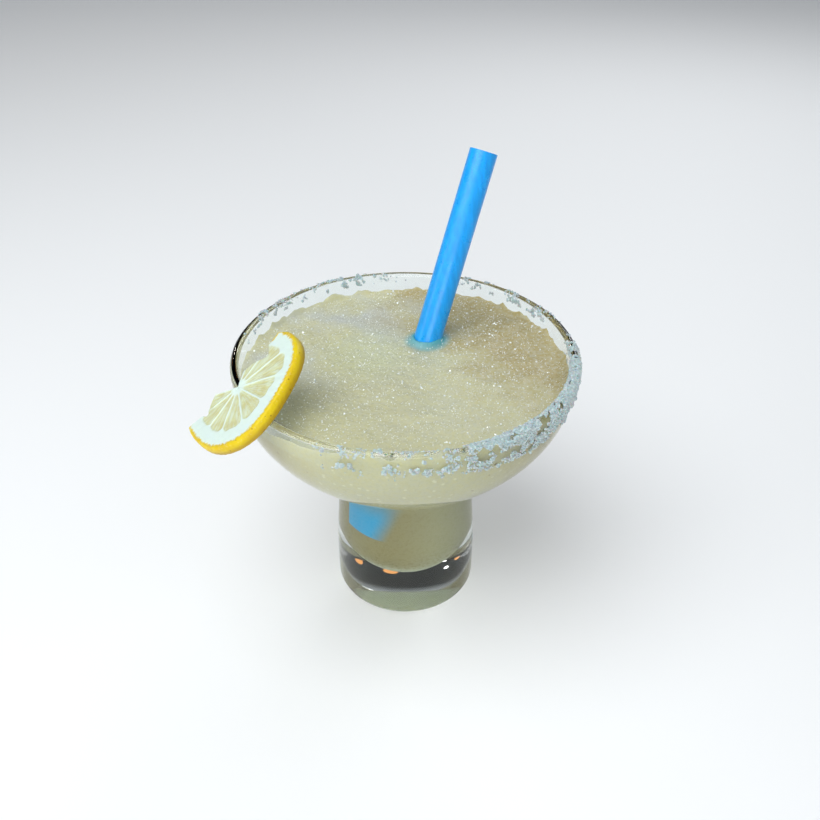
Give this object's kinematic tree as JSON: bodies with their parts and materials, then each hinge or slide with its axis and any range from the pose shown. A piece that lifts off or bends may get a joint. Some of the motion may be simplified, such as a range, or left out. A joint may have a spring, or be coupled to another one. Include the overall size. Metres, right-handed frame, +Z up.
{
  "type": "frozen margarita in a stemless glass",
  "caption": "Frozen margarita filling a wide stemless glass with a salted rim, with a straight straw and a lemon slice on the rim.",
  "frame": {"origin": "centre of the flat underside of the glass", "axes": "+Z up, the longest way; -Y the front, with the lemon slice at the left front and the straw leaning to the right and back"},
  "size_m": [0.1251, 0.1149, 0.1538],
  "materials": {
    "clear_glass": "clear, smooth, with white salt crystals fused to the rim",
    "frozen_slush": "pale beige-green crushed ice, wet and sparkling",
    "blue_plastic": "smooth satin",
    "lemon": "yellow rind, white pith, pale moist flesh",
    "salt": "coarse damp white crystals"
  },
  "bodies": {
    "root": {"glass": "clear_glass", "drink": "frozen_slush", "straw": "blue_plastic", "lemon_slice": "lemon"}
  },
  "joints": []
}
